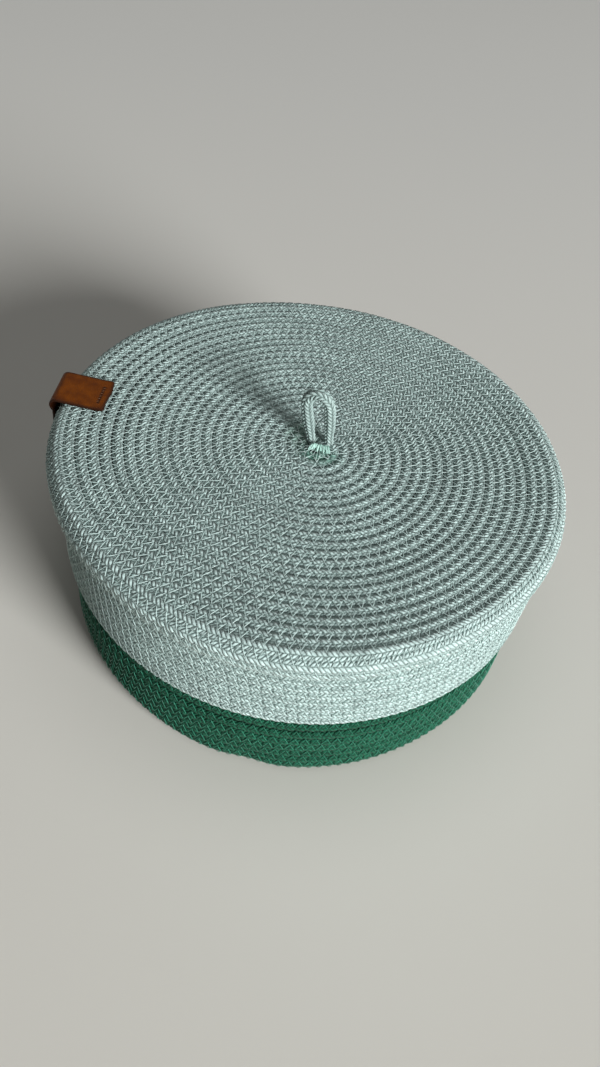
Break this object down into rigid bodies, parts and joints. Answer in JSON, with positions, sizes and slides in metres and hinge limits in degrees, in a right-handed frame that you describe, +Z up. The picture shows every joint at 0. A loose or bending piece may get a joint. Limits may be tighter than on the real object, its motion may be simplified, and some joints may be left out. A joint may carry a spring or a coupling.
{
  "type": "knitting basket",
  "caption": "Round lidded basket of coiled and sewn cotton cord for knitting, with a deep slip-over lid, a cord loop handle and a folded leather tag.",
  "frame": {"origin": "on the table, under the middle of the basket's floor", "axes": "+Z up; -Y towards the side that the picture shows; the tag is at -X"},
  "size_m": [0.2569, 0.2495, 0.1369],
  "materials": {
    "mint_cotton": "matt braided cotton cord, pale sage mint",
    "emerald_cotton": "matt braided cotton cord, emerald green",
    "mint_thread": "sewing thread, bright mint",
    "cognac_leather": "smooth cognac leather with darker cut edges"
  },
  "bodies": {
    "basket": {"basket_floor": "emerald_cotton", "basket_wall": "emerald_cotton"},
    "lid": {"lid_top": "mint_cotton", "lid_skirt": "mint_cotton", "leather_tag": "cognac_leather", "loop_tack": "mint_thread", "loop_end_left": "mint_cotton", "loop_end_right": "mint_cotton"},
    "loop": {"handle_loop": "mint_cotton"}
  },
  "joints": [
    {"name": "lid_lift", "type": "slide", "parent": "basket", "child": "lid", "axis": [0, 0, 1], "range_m": [0, 0.12]},
    {"name": "loop_bend", "type": "hinge", "parent": "lid", "child": "loop", "pos_m": [0.0021, 0.0034, 0.1061], "axis": [1, 0, 0], "range_deg": [-45, 45], "stiffness_Nm_per_rad": 0.004}
  ]
}
